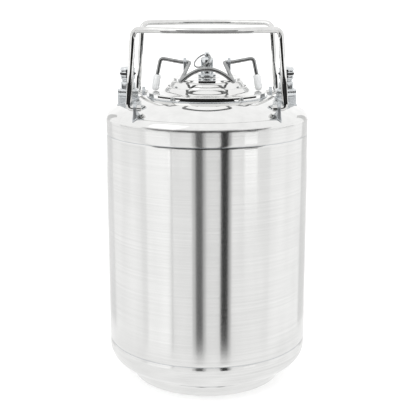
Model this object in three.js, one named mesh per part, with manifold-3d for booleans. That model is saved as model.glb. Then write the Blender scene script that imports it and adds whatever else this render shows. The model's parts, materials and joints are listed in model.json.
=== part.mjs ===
// Ball-lock soda keg: welded stainless tank with two folding wire handles, a bail-locked oval lid
// with a pull-ring relief valve, and a gas and a liquid post. Millimetres, +Z up, the origin at the
// centre of the foot ring's footprint. X runs from the gas post to the liquid post, -Y is the front.
import * as THREE from 'three';
import { mergeVertices } from 'three/addons/utils/BufferGeometryUtils.js';
import Module from 'manifold-3d';

const wasm = await Module();
wasm.setup();

// ---- driving dimensions ----
const GAP = 0.3; // left between two pieces that touch
const BIG_SIDES = 48; // facets around the tank
const SMALL_SIDES = 20; // facets around a fitting

const TANK = { radius: 114.3, sheet: 1.2, lowSeam: 45.7, highSeam: 285.5, seamBevel: 1.0 };
const SHOULDER = { start: 300.5, radius: 12.4, slope: 30 };
const DOME = { landZ: 325.5, landRadius: 67.5, mouthRadius: 62.3, landSlope: 8.7 };
const BOTTOM = { arcZ: 38.5, arcRadius: 22, arcEnd: -76, creaseRadius: 90.5, creaseZ: 14.3, centreZ: 8.5 };
const SKIRT = { footRadius: 85.4, footWidth: 2.6, sheet: 2.2 };

const OVAL = 1.2; // the mouth and the lid are this much longer along Y than across X
const COLLAR = { radius: 66.9, bottom: 325.8, top: 331.2, edge: 1.0 };
const LIP = { top: 337.6, base: 53, brow: 49, crest: 44.6, opening: 43.2, pocket: 51.2, ceiling: 331.0 };
const LID = {
  top: 347, sheet: 2, neck: 42.4, rim: 38.4, rimZ: 344.2, rimEdge: 0.5, flange: 49.2, flangeZ: 323.6, flangeThick: 2.6,
};
const LID_ORING = { radius: 46.2, section: 2.2 };

const BOSS = { low: 312, flangeLow: 314, flange: 12, flangeTop: 326, neck: 8, nipple: 7.2, nippleTop: 335, bore: 4.9 };
const POST = {
  x: 88.5, hexFlats: 22.2, hexTop: 333.5, body: 8.6, top: 358, chamber: 5.2, chamberTop: 352, thread: 7.5, threadTop: 339.3,
  orifice: 3.4, orificeLow: 353.8, oringZ: 350.5, seatHalf: 1.3, seatDepth: 1.7, grooveLow: 340.2, grooveHigh: 345.4,
  grooveDepth: 1.5, grooveSlope: 1.3, notch: 2,
};
const DIP = { outer: 4, bore: 3, collar: 6.6, rise: 3.4, gasEnd: 288, liquidBendZ: 78, liquidEnd: [52, 21] };
const POPPET = { flange: 4.6, flangeThick: 2.2, stem: 1.6, head: 2.4, flangeZ: 346.6, headZ: 351.9, top: 357.3 };
const SEAL = { radius: 4.2, nose: 3.4, low: 1.2, high: 2.4 };

const HANDLE = {
  rod: 3.3, pivotY: 72, pivotZ: 321, pivotX: 82.5, topX: 76.3, barZ: 402.7, bow: 28, stubX: 69, bend: 9, foldBend: 4.4,
};
const LUG = { x: 75.6, thick: 3.6, footHalf: 9.5, footDepth: 14, hole: 3.9, wall: 3.2 };

const BAIL = {
  rod: 2.2, pivotZ: 363, armX: 19, hubX: 28, shoulderX: 51.6, shoulderZ: 367.4, footX: 55.6, footZ: 349, endX: 57.3,
  endZ: 338.6, gripX: 28.5, gripY: 50, gripZ: 346, archRise: 14,
};
const EAR = { x: 24.6, thick: 3.4, halfWidth: 4.9, footHalf: 6.8, waist: 3, hole: 2.8 };
const FOOT = { radius: 4.3, bore: 2.5, top: 349.6, boreEnd: 337.8, tilt: 8.9, offset: 0.35 };

const RELIEF = {
  body: 7.3, bodyTop: 369, bodyEdge: 1.6, flange: 10, flangeTop: 350, shank: 5.9, shankEnd: 335, bore: 5, seatZ: 341,
  capZ: 366, seatHole: 2.6, stem: 1.6, disc: 4.3, discThick: 2.4, head: 3, headTop: 374.4, eyeZ: 371.8, eye: 1.35,
};
const GASKET = { radius: 9.4, thick: 1.3 };
const NUT = { corner: 9.8, thick: 4.5, drop: 1.6 };
const DIP_RING = { radius: 5.4, section: 0.85, rise: 1.2 };
const POST_RING = { inset: 0.35, section: 0.95 };
const FINE_EDGE = 0.8; // chamfer on a turned fitting's edges
const RING = { radius: 10, rod: 0.9, lean: 42, heading: 225 };
const SPRING = { poppetRadius: 3.6, poppetWire: 0.45, reliefRadius: 3.4, reliefWire: 0.5 };

const STEEL = { color: 0xd4d6d8, roughness: 0.22, metalness: 1 };
const POLISHED = { color: 0xdfe1e3, roughness: 0.08, metalness: 1 };
const RUBBER = { color: 0x1b1b1c, roughness: 0.7, metalness: 0 };
const VINYL = { color: 0xd9d9d6, roughness: 0.55, metalness: 0 };

const keg = new THREE.Group();
const radians = THREE.MathUtils.degToRad;

// ---- helpers ----
function solidOf(geometry) {
  const bare = geometry.clone();
  bare.deleteAttribute('normal');
  bare.deleteAttribute('uv');
  const merged = mergeVertices(bare, 1e-4);
  return new wasm.Manifold(new wasm.Mesh({
    numProp: 3,
    vertProperties: new Float32Array(merged.attributes.position.array),
    triVerts: new Uint32Array(merged.index.array),
  }));
}

function geometryOf(solid) {
  const mesh = solid.getMesh();
  const geometry = new THREE.BufferGeometry();
  geometry.setAttribute('position', new THREE.BufferAttribute(new Float32Array(mesh.vertProperties), 3));
  geometry.setIndex(new THREE.BufferAttribute(new Uint32Array(mesh.triVerts), 1));
  geometry.computeVertexNormals();
  return geometry;
}

function add(name, geometry, finish, parent = keg) {
  const mesh = new THREE.Mesh(geometry, new THREE.MeshStandardMaterial(finish));
  mesh.name = name;
  parent.add(mesh);
  return mesh;
}

// A ring or a disc turned about Z: the profile is [radius, z] pairs, anticlockwise seen with Z up.
function turned(profile, sides, stretchY = 1) {
  const points = profile.map(([r, z]) => new THREE.Vector2(r, z));
  if (points[0].x > 0) points.push(points[0].clone());
  const geometry = new THREE.LatheGeometry(points, sides);
  geometry.rotateX(Math.PI / 2);
  geometry.scale(1, stretchY, 1);
  return geometry;
}

function arc(centreR, centreZ, radius, fromDeg, toDeg, steps) {
  return Array.from({ length: steps + 1 }, (_, i) => {
    const a = radians(fromDeg + ((toDeg - fromDeg) * i) / steps);
    return [centreR + radius * Math.cos(a), centreZ + radius * Math.sin(a)];
  });
}

function circleShape(radius, sides) {
  const shape = new THREE.Shape();
  for (let i = 0; i < sides; i += 1) {
    const a = (2 * Math.PI * i) / sides;
    const step = i === 0 ? 'moveTo' : 'lineTo';
    shape[step](radius * Math.cos(a), radius * Math.sin(a));
  }
  shape.closePath();
  return shape;
}

// The stations of a bent rod: straight runs with rounded corners; each point is [x, y, z, cut back].
function bentPath(points, bendSteps = 3) {
  const at = points.map(([x, y, z]) => new THREE.Vector3(x, y, z));
  const stations = [at[0]];
  for (let i = 1; i < at.length - 1; i += 1) {
    const cut = points[i][3];
    const before = at[i].clone().lerp(at[i - 1], cut / at[i].distanceTo(at[i - 1]));
    const after = at[i].clone().lerp(at[i + 1], cut / at[i].distanceTo(at[i + 1]));
    const bend = new THREE.QuadraticBezierCurve3(before, at[i], after);
    stations.push(...bend.getPoints(bendSteps));
  }
  return [...stations, at.at(-1)];
}

// A curve that puts one cross-section on each station, so a straight run costs a single step.
class StationCurve extends THREE.Curve {
  constructor(stations) {
    super();
    this.stations = stations;
  }

  getPointAt(u, target = new THREE.Vector3()) {
    const place = u * (this.stations.length - 1);
    const i = Math.min(Math.round(place), this.stations.length - 1);
    return target.copy(this.stations[i]);
  }

  getTangentAt(u, target = new THREE.Vector3()) {
    const i = Math.round(u * (this.stations.length - 1));
    const before = this.stations[Math.max(i - 1, 0)];
    const after = this.stations[Math.min(i + 1, this.stations.length - 1)];
    return target.subVectors(after, before).normalize();
  }
}

function rodAlong(stations, radius, sides, bore = 0) {
  const section = circleShape(radius, sides);
  if (bore > 0) section.holes.push(circleShape(bore, sides));
  const extrudePath = new StationCurve(stations);
  return new THREE.ExtrudeGeometry(section, { extrudePath, steps: stations.length - 1, bevelEnabled: false });
}

function coil(radius, wire, zLow, zHigh, turns, stepsPerTurn) {
  const steps = turns * stepsPerTurn;
  const stations = Array.from({ length: steps + 1 }, (_, i) => {
    const a = (2 * Math.PI * i) / stepsPerTurn;
    const z = zLow + wire + ((zHigh - zLow - 2 * wire) * i) / steps;
    return new THREE.Vector3(radius * Math.cos(a), radius * Math.sin(a), z);
  });
  return rodAlong(stations, wire, 5);
}

// ---- tank: wall, top dome, bottom dome and foot ring ----
const wallInner = TANK.radius - TANK.sheet;
const wallEdge = TANK.radius - TANK.seamBevel;
const shoulderR = TANK.radius - SHOULDER.radius;
const shoulderTurn = 90 - SHOULDER.slope;

function tankWall() {
  return turned([
    [wallInner, TANK.lowSeam], [wallEdge, TANK.lowSeam], [TANK.radius, TANK.lowSeam + TANK.seamBevel],
    [TANK.radius, TANK.highSeam - TANK.seamBevel], [wallEdge, TANK.highSeam], [wallInner, TANK.highSeam],
  ], BIG_SIDES);
}

// The dome's outer line from the shoulder to the flat land under the collar, as an arc that eases
// from the shoulder's slope to the land's slope.
const shoulderEnd = arc(shoulderR, SHOULDER.start, SHOULDER.radius, 0, shoulderTurn, 3).at(-1);
const domeTurn = radians((SHOULDER.slope - DOME.landSlope) / 2);
const domeChord = Math.hypot(shoulderEnd[0] - DOME.landRadius, DOME.landZ - shoulderEnd[1]);
const domeRadius = domeChord / (2 * Math.sin(domeTurn));
const domeCentre = [
  shoulderEnd[0] - domeRadius * Math.cos(radians(shoulderTurn)),
  shoulderEnd[1] - domeRadius * Math.sin(radians(shoulderTurn)),
];

function domeLine(inset, steps) {
  const shoulder = arc(shoulderR, SHOULDER.start, SHOULDER.radius - inset, 0, shoulderTurn, 3);
  const crown = arc(domeCentre[0], domeCentre[1], domeRadius - inset, shoulderTurn, 90 - DOME.landSlope, steps);
  return [...shoulder, ...crown.slice(1)];
}

function topDome() {
  const low = TANK.highSeam + GAP;
  const outer = [
    [wallInner, low], [wallEdge, low], [TANK.radius, low + TANK.seamBevel], ...domeLine(0, 4),
    [DOME.mouthRadius, DOME.landZ],
  ];
  const inner = [[DOME.mouthRadius, DOME.landZ - TANK.sheet], ...domeLine(TANK.sheet, 4).reverse()];
  let solid = solidOf(turned([...outer, ...inner], BIG_SIDES));
  for (const side of [-1, 1]) {
    const hole = BOSS.neck + GAP;
    const drill = new THREE.CylinderGeometry(hole, hole, 60, SMALL_SIDES).rotateX(Math.PI / 2);
    solid = solid.subtract(solidOf(drill.translate(side * POST.x, 0, DOME.landZ)));
  }
  return geometryOf(solid);
}

// Everything under the dome's skin plus the gap, used to fit feet and flanges to the dome.
function underDome() {
  return solidOf(turned([
    [0, SHOULDER.start - 60], [TANK.radius, SHOULDER.start - 60], ...domeLine(-GAP, 8), [0, DOME.landZ + GAP],
  ], 2 * BIG_SIDES));
}

function bottomLine(inset) {
  const round = arc(TANK.radius - BOTTOM.arcRadius, BOTTOM.arcZ, BOTTOM.arcRadius - inset, BOTTOM.arcEnd, 0, 4);
  return [
    [0, BOTTOM.centreZ + inset], [0.55 * BOTTOM.creaseRadius, BOTTOM.centreZ + 1.6 + inset],
    [BOTTOM.creaseRadius - inset, BOTTOM.creaseZ + inset], ...round,
  ];
}

function bottomDome() {
  const high = TANK.lowSeam - GAP;
  return turned([
    ...bottomLine(0), [TANK.radius, high - TANK.seamBevel], [wallEdge, high], [wallInner, high],
    ...bottomLine(TANK.sheet).reverse(),
  ], BIG_SIDES);
}

function baseSkirt() {
  const foot = SKIRT.footRadius;
  const rise = BOTTOM.creaseZ - 2 * GAP;
  const top = BOTTOM.creaseRadius;
  return turned([
    [foot - SKIRT.footWidth, 0], [foot, 0], [foot + 1, 1], [top - 0.6, rise - 1.6], [top - 1, rise - 0.4],
    [top - SKIRT.sheet, rise - 0.6], [foot - SKIRT.footWidth - 0.4, 1.2],
  ], BIG_SIDES);
}

add('tank_wall', tankWall(), STEEL);
add('top_dome', topDome(), POLISHED);
add('bottom_dome', bottomDome(), POLISHED);
add('base_skirt', baseSkirt(), STEEL);

// ---- mouth collar: a round ring with a raised oval lip ----
function mouthCollar() {
  const plate = turned([
    [0, COLLAR.bottom], [COLLAR.radius, COLLAR.bottom], [COLLAR.radius, COLLAR.top - COLLAR.edge],
    [COLLAR.radius - COLLAR.edge, COLLAR.top], [0, COLLAR.top],
  ], BIG_SIDES);
  const lip = turned([
    [0, COLLAR.top - 1], [LIP.base, COLLAR.top - 1], [LIP.base, COLLAR.top], [LIP.brow, COLLAR.top + 1.2],
    [LIP.crest + 1.5, LIP.top - 1.6], [LIP.crest, LIP.top], [0, LIP.top],
  ], BIG_SIDES, OVAL);
  const opening = turned([
    [0, LIP.ceiling - 1], [LIP.opening, LIP.ceiling - 1], [LIP.opening, LIP.top + 1], [0, LIP.top + 1],
  ], BIG_SIDES, OVAL);
  const pocket = turned([
    [0, COLLAR.bottom - 1], [LIP.pocket, COLLAR.bottom - 1], [LIP.pocket, LIP.ceiling], [0, LIP.ceiling],
  ], BIG_SIDES, OVAL);
  return geometryOf(solidOf(plate).add(solidOf(lip)).subtract(solidOf(opening)).subtract(solidOf(pocket)));
}

add('mouth_collar', mouthCollar(), POLISHED);

// ---- gas and liquid posts ----
function portBoss(x) {
  const body = turned([
    [BOSS.bore, BOSS.low], [BOSS.neck, BOSS.low], [BOSS.neck, BOSS.flangeLow], [BOSS.flange, BOSS.flangeLow],
    [BOSS.flange, BOSS.flangeTop - FINE_EDGE], [BOSS.flange - FINE_EDGE, BOSS.flangeTop], [BOSS.nipple, BOSS.flangeTop],
    [BOSS.nipple, BOSS.nippleTop], [BOSS.bore, BOSS.nippleTop],
  ], SMALL_SIDES);
  const low = BOSS.low - 10;
  const high = BOSS.flangeTop + 10;
  const neck = turned([[0, low], [BOSS.neck, low], [BOSS.neck, high], [0, high]], SMALL_SIDES);
  const cutter = underDome().subtract(solidOf(neck.translate(x, 0, 0)));
  return geometryOf(solidOf(body.translate(x, 0, 0)).subtract(cutter));
}

// The plug that screws over the boss: a spanner hexagon under a grooved barrel with its valve chamber.
function ballLockPost(notched) {
  const groove = POST.body - POST.grooveDepth;
  const seat = POST.body - POST.seatDepth;
  const outside = turned([
    [0, POST.hexTop - 3], [POST.body, POST.hexTop - 3], [POST.body, POST.grooveLow], [groove, POST.grooveLow + POST.grooveSlope],
    [groove, POST.grooveHigh - POST.grooveSlope], [POST.body, POST.grooveHigh], [POST.body, POST.oringZ - POST.seatHalf],
    [seat, POST.oringZ - POST.seatHalf], [seat, POST.oringZ + POST.seatHalf], [POST.body, POST.oringZ + POST.seatHalf],
    [POST.body, POST.top - 1.6], [POST.body - 1.4, POST.top], [0, POST.top],
  ], SMALL_SIDES);
  const inside = turned([
    [0, BOSS.flangeTop - 5], [POST.thread, BOSS.flangeTop - 5], [POST.thread, POST.threadTop], [POST.chamber, POST.threadTop],
    [POST.chamber, POST.chamberTop], [POST.orifice, POST.orificeLow], [POST.orifice, POST.top + 5], [0, POST.top + 5],
  ], SMALL_SIDES);
  const corner = POST.hexFlats / Math.sqrt(3);
  const low = BOSS.flangeTop + GAP;
  const hexagon = new THREE.CylinderGeometry(corner, corner, POST.hexTop - low, 6).rotateX(Math.PI / 2);
  let solid = solidOf(hexagon.translate(0, 0, (POST.hexTop + low) / 2));
  if (notched) {
    for (let i = 0; i < 6; i += 1) {
      const notch = new THREE.BoxGeometry(POST.notch, POST.notch, 30).rotateZ(Math.PI / 4);
      notch.translate(corner, 0, POST.hexTop).rotateZ((i * Math.PI) / 3 + Math.PI / 6);
      solid = solid.subtract(solidOf(notch));
    }
  }
  return geometryOf(solid.add(solidOf(outside)).subtract(solidOf(inside)));
}

function oring(radius, section, z, sides, stretchY = 1) {
  return turned(arc(radius, z, section, 0, 300, 5), sides, stretchY);
}

function poppet() {
  const back = POPPET.flangeZ + POPPET.flangeThick;
  return turned([
    [0, POPPET.flangeZ], [POPPET.flange, POPPET.flangeZ], [POPPET.flange, back], [POPPET.stem, back],
    [POPPET.stem, POPPET.headZ], [POPPET.head, POPPET.headZ], [POPPET.head, POPPET.top - FINE_EDGE],
    [POPPET.head - FINE_EDGE, POPPET.top], [0, POPPET.top],
  ], 14);
}

function poppetSeal() {
  const low = POPPET.flangeZ + POPPET.flangeThick + GAP;
  const hole = POPPET.stem + GAP;
  return turned([
    [hole, low], [SEAL.radius, low], [SEAL.radius, low + SEAL.low], [SEAL.nose, low + SEAL.high], [hole, low + SEAL.high],
  ], 14);
}

const dipTop = BOSS.nippleTop + DIP.rise;

function gasDipTube() {
  return turned([
    [DIP.bore, DIP.gasEnd], [DIP.outer, DIP.gasEnd], [DIP.outer, dipTop - 1], [DIP.collar, dipTop - 1],
    [DIP.collar, dipTop], [DIP.bore, dipTop],
  ], 14);
}

// The long tube runs down beside the wall and bends in to the low middle of the tank.
function liquidDipTube(x) {
  const [endX, endZ] = DIP.liquidEnd;
  const path = bentPath([
    [x, 0, dipTop - 1, 0], [x, 0, DIP.liquidBendZ, 34], [x - 0.8 * (x - endX), 0, endZ + 8, 10], [endX, 0, endZ, 0],
  ]);
  const tube = rodAlong(path, DIP.outer, 8, DIP.bore);
  const collar = turned([
    [DIP.bore, dipTop - 1.4], [DIP.outer, dipTop - 1.4], [DIP.outer, dipTop - 1], [DIP.collar, dipTop - 1],
    [DIP.collar, dipTop], [DIP.bore, dipTop],
  ], 14).translate(x, 0, 0);
  return geometryOf(solidOf(tube).add(solidOf(collar)));
}

for (const [line, side] of [['gas', -1], ['liquid', 1]]) {
  const x = side * POST.x;
  const place = new THREE.Group();
  place.position.x = x;
  keg.add(place);
  add(`${line}_port_boss`, portBoss(x), STEEL);
  add(`${line}_post`, ballLockPost(line === 'gas'), POLISHED, place);
  const ringRadius = POST.body - POST_RING.inset;
  add(`${line}_post_oring`, oring(ringRadius, POST_RING.section, POST.oringZ, SMALL_SIDES), RUBBER, place);
  add(`${line}_poppet`, poppet(), POLISHED, place);
  add(`${line}_poppet_seal`, poppetSeal(), RUBBER, place);
  const spring = coil(SPRING.poppetRadius, SPRING.poppetWire, dipTop + GAP, POPPET.flangeZ - GAP, 4, 7);
  add(`${line}_poppet_spring`, spring, STEEL, place);
  const dipRing = oring(DIP_RING.radius, DIP_RING.section, BOSS.nippleTop + DIP_RING.rise, 14);
  add(`${line}_dip_tube_oring`, dipRing, RUBBER, place);
}
add('gas_dip_tube', gasDipTube().translate(-POST.x, 0, 0), STEEL);
add('liquid_dip_tube', liquidDipTube(POST.x), STEEL);

// ---- folding handles on four welded lugs ----
// One rod: a stub in each lug, a leg up to each corner and a grip bar bowed out over the rim.
function handleRod() {
  const { pivotX, pivotZ, topX, barZ, stubX, bend, foldBend, bow } = HANDLE;
  const bar = Array.from({ length: 9 }, (_, i) => {
    const t = (i + 1) / 10;
    return [topX * (1 - 2 * t), -bow * 4 * t * (1 - t), barZ, 4];
  });
  return rodAlong(bentPath([
    [stubX, 0, pivotZ, 0], [pivotX, 0, pivotZ, foldBend], [topX, 0, barZ, bend], ...bar,
    [-topX, 0, barZ, bend], [-pivotX, 0, pivotZ, foldBend], [-stubX, 0, pivotZ, 0],
  ]), HANDLE.rod, 10);
}

function handleLug(x, y) {
  const top = LUG.hole + LUG.wall;
  const outline = new THREE.Shape();
  outline.moveTo(-LUG.footHalf, -LUG.footDepth);
  outline.lineTo(LUG.footHalf, -LUG.footDepth);
  outline.lineTo(top, 0);
  for (let a = 20; a < 180; a += 20) outline.lineTo(top * Math.cos(radians(a)), top * Math.sin(radians(a)));
  outline.lineTo(-top, 0);
  outline.closePath();
  outline.holes.push(circleShape(LUG.hole, 16));
  const plate = new THREE.ExtrudeGeometry(outline, { depth: LUG.thick, bevelEnabled: false });
  plate.translate(0, 0, -LUG.thick / 2).rotateX(Math.PI / 2).rotateZ(Math.PI / 2);
  return geometryOf(solidOf(plate.translate(x, y, HANDLE.pivotZ)).subtract(underDome()));
}

for (const [end, side] of [['front', -1], ['rear', 1]]) {
  const place = new THREE.Group();
  place.position.y = side * HANDLE.pivotY;
  place.rotation.z = side > 0 ? Math.PI : 0;
  keg.add(place);
  add(`${end}_handle`, handleRod(), POLISHED, place);
  add(`${end}_left_lug`, handleLug(-LUG.x, side * HANDLE.pivotY), STEEL);
  add(`${end}_right_lug`, handleLug(LUG.x, side * HANDLE.pivotY), STEEL);
}

// ---- lid: a deep-drawn oval plate that seals from below ----
function lidPlate() {
  const under = LID.flangeZ;
  const inner = LID.neck - LID.sheet;
  const hole = RELIEF.shank + GAP;
  const shell = turned([
    [LID.neck - 1.5, under], [LID.flange - FINE_EDGE, under], [LID.flange, under + FINE_EDGE],
    [LID.flange, under + LID.flangeThick], [LID.neck, under + LID.flangeThick], [LID.neck, LIP.top],
    [LID.rim + 1.2, LID.rimZ - 0.8], [LID.rim, LID.rimZ], [LID.rim, LID.top - LID.rimEdge], [LID.rim - LID.rimEdge, LID.top],
    [hole, LID.top], [hole, LID.top - LID.sheet], [LID.rim - 2.2, LID.top - LID.sheet], [inner, LIP.top - 1],
    [inner, under + 1.5],
  ], BIG_SIDES - 8, OVAL);
  const drill = new THREE.CylinderGeometry(hole, hole, 20, SMALL_SIDES).rotateX(Math.PI / 2);
  return geometryOf(solidOf(shell).subtract(solidOf(drill.translate(0, 0, LID.top))));
}

function bailEar(x) {
  const outline = new THREE.Shape();
  const foot = LID.top + GAP - BAIL.pivotZ;
  const head = EAR.halfWidth;
  outline.moveTo(-EAR.footHalf, foot);
  outline.lineTo(EAR.footHalf, foot);
  outline.lineTo(head, -EAR.waist);
  for (let a = 0; a <= 180; a += 20) outline.lineTo(head * Math.cos(radians(a)), head * Math.sin(radians(a)));
  outline.lineTo(-head, -EAR.waist);
  outline.closePath();
  outline.holes.push(circleShape(EAR.hole, 12));
  const plate = new THREE.ExtrudeGeometry(outline, { depth: EAR.thick, bevelEnabled: false });
  plate.translate(0, 0, -EAR.thick / 2).rotateX(Math.PI / 2).rotateZ(Math.PI / 2);
  return plate.translate(x, 0, BAIL.pivotZ);
}

add('lid_plate', lidPlate(), POLISHED);
const lidRingZ = LIP.ceiling - GAP - LID_ORING.section;
add('lid_oring', oring(LID_ORING.radius, LID_ORING.section, lidRingZ, BIG_SIDES - 8, OVAL), RUBBER);
add('left_bail_ear', bailEar(-EAR.x), STEEL);
add('right_bail_ear', bailEar(EAR.x), STEEL);

// ---- bail: one wire with two hooks, two arms and an arched grip, and a foot on each end ----
function bailWire() {
  const { endX, endZ, footX, footZ, shoulderX, shoulderZ, hubX, armX, pivotZ, gripX, gripY, gripZ, archRise } = BAIL;
  const arch = Array.from({ length: 7 }, (_, i) => {
    const t = (i + 1) / 8;
    return [gripX * (2 * t - 1), -gripY, gripZ + archRise * 4 * t * (1 - t), 2.5];
  });
  const left = [
    [-endX, 0, endZ, 0], [-footX, 0, footZ, 3], [-shoulderX, 0, shoulderZ, 4], [-hubX, 0, pivotZ, 2],
    [-armX, 0, pivotZ, 3.5], [-gripX, -gripY, gripZ, 3],
  ];
  const right = left.map(([x, ...rest]) => [-x, ...rest]).reverse();
  return rodAlong(bentPath([...left, ...arch, ...right]), BAIL.rod, 8);
}

// A vinyl sleeve with a round closed end, leaned like the wire inside it.
function bailFoot(side) {
  const low = COLLAR.top + GAP + FOOT.radius;
  const sleeve = turned([
    [0, low - FOOT.radius], ...arc(0, low, FOOT.radius, -60, 0, 3), [FOOT.radius, FOOT.top - FINE_EDGE],
    [FOOT.radius - FINE_EDGE, FOOT.top], [FOOT.bore, FOOT.top], [FOOT.bore, FOOT.boreEnd], [0, FOOT.boreEnd],
  ], 14).translate(0, 0, -low);
  return sleeve.rotateY(radians(-side * FOOT.tilt)).translate(side * (BAIL.endX + FOOT.offset), 0, low);
}

add('bail_wire', bailWire(), POLISHED);
add('left_bail_foot', bailFoot(-1), VINYL);
add('right_bail_foot', bailFoot(1), VINYL);

// ---- relief valve in the middle of the lid ----
function reliefBody() {
  const flangeLow = LID.top + 2 * GAP;
  const stemHole = RELIEF.stem + 0.5;
  return turned([
    [RELIEF.seatHole, RELIEF.shankEnd], [RELIEF.shank, RELIEF.shankEnd], [RELIEF.shank, flangeLow],
    [RELIEF.flange, flangeLow], [RELIEF.flange, RELIEF.flangeTop - FINE_EDGE], [RELIEF.flange - FINE_EDGE, RELIEF.flangeTop],
    [RELIEF.body, RELIEF.flangeTop], [RELIEF.body, RELIEF.bodyTop - RELIEF.bodyEdge],
    [RELIEF.body - RELIEF.bodyEdge, RELIEF.bodyTop], [stemHole, RELIEF.bodyTop], [stemHole, RELIEF.capZ],
    [RELIEF.bore, RELIEF.capZ], [RELIEF.bore, RELIEF.seatZ], [RELIEF.seatHole, RELIEF.seatZ],
  ], SMALL_SIDES);
}

function reliefNut() {
  const high = LID.top - LID.sheet - NUT.drop - GAP;
  const nut = new THREE.CylinderGeometry(NUT.corner, NUT.corner, NUT.thick, 6).rotateX(Math.PI / 2);
  const hole = RELIEF.shank + GAP;
  const bore = new THREE.CylinderGeometry(hole, hole, 20, SMALL_SIDES).rotateX(Math.PI / 2).translate(0, 0, high);
  return geometryOf(solidOf(nut.translate(0, 0, high - NUT.thick / 2)).subtract(solidOf(bore)));
}

function reliefGasket() {
  const high = LID.top - LID.sheet - GAP;
  const low = high - GASKET.thick;
  const hole = RELIEF.shank + GAP;
  return turned([[hole, low], [GASKET.radius, low], [GASKET.radius, high], [hole, high]], SMALL_SIDES);
}

function reliefStem() {
  const low = RELIEF.seatZ + GAP;
  const disc = low + RELIEF.discThick;
  const neck = RELIEF.bodyTop + GAP;
  const stem = turned([
    [0, low], [RELIEF.disc, low], [RELIEF.disc, disc], [RELIEF.stem, disc], [RELIEF.stem, neck],
    [RELIEF.head, neck], [RELIEF.head, RELIEF.headTop - FINE_EDGE], [RELIEF.head - FINE_EDGE, RELIEF.headTop],
    [0, RELIEF.headTop],
  ], 16);
  const drill = new THREE.CylinderGeometry(RELIEF.eye, RELIEF.eye, 12, 12).rotateZ(Math.PI / 2);
  drill.rotateZ(radians(RING.heading + 90)).translate(0, 0, RELIEF.eyeZ);
  return geometryOf(solidOf(stem).subtract(solidOf(drill)));
}

// The pull ring threads the stem's eye and leans down to the front left.
function reliefRing() {
  const ring = turned(arc(RING.radius, 0, RING.rod, 0, 300, 5), 24);
  ring.translate(RING.radius, 0, 0).rotateY(radians(RING.lean)).rotateZ(radians(RING.heading));
  return ring.translate(0, 0, RELIEF.eyeZ);
}

add('relief_body', reliefBody(), POLISHED);
add('relief_gasket', reliefGasket(), RUBBER);
add('relief_nut', reliefNut(), STEEL);
const reliefSpringLow = RELIEF.seatZ + RELIEF.discThick + 2 * GAP;
add('relief_spring', coil(SPRING.reliefRadius, SPRING.reliefWire, reliefSpringLow, RELIEF.capZ - GAP, 6, 7), STEEL);
add('relief_stem', reliefStem(), POLISHED);
add('relief_ring', reliefRing(), POLISHED);

export default keg;
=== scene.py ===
"""Looks of a ball-lock soda keg: polished and brushed stainless steel, rubber rings and vinyl feet.

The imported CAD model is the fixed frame. Each visible steel piece is turned, bent or cut again here at a
fine step, in the place that the frame gives, and the sealed inner pieces keep their CAD shape under a
better finish.
"""
import json
import logging
import math
from dataclasses import dataclass, field
from enum import Enum
from typing import Optional, Sequence, Union

import bmesh
import bpy
from mathutils import Matrix, Vector


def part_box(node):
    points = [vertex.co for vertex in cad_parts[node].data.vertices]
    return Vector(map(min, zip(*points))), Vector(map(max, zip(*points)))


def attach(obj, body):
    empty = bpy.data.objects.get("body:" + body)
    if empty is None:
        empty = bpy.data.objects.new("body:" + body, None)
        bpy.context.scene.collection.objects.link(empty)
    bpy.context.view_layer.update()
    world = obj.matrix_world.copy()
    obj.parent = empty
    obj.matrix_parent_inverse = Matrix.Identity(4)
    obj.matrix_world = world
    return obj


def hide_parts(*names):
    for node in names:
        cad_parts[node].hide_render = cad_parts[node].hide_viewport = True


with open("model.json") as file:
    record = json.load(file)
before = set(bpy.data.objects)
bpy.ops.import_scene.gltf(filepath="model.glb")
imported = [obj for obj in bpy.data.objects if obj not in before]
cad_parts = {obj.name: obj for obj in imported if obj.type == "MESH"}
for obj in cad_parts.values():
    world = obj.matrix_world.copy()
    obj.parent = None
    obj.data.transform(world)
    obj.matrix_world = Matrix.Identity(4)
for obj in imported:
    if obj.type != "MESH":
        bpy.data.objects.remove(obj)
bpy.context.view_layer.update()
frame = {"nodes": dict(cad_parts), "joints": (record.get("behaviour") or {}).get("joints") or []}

MM = 0.001
WHITE = (1.0, 1.0, 1.0, 1.0)
LOG = logging.getLogger("soda_keg")

Point = tuple[float, float]
Corner = tuple[float, float, float]
BEAD_END = 345  # a round section's last angle in degrees, whose closing chord makes up the full turn


class Sides(Enum):
    """How many flats stand in for a round, by how large the piece is."""

    TANK = 192
    FITTING = 72
    FINE = 40


# ---------------------------------------------------------------- profiles and paths


def arc(centre: Point, radius: float, start: float, end: float, steps: int = 12) -> list[Point]:
    """Points on a circular arc in the profile plane.

    Args:
        centre: The arc's centre, as (radius, height) in millimetres.
        radius: The arc's own radius in millimetres.
        start: The first angle in degrees, from the outward direction.
        end: The last angle in degrees.
        steps: The number of chords.

    Returns:
        The points from start to end.
    """
    turn = [math.radians(start + (end - start) * i / steps) for i in range(steps + 1)]
    return [(centre[0] + radius * math.cos(a), centre[1] + radius * math.sin(a)) for a in turn]


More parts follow.
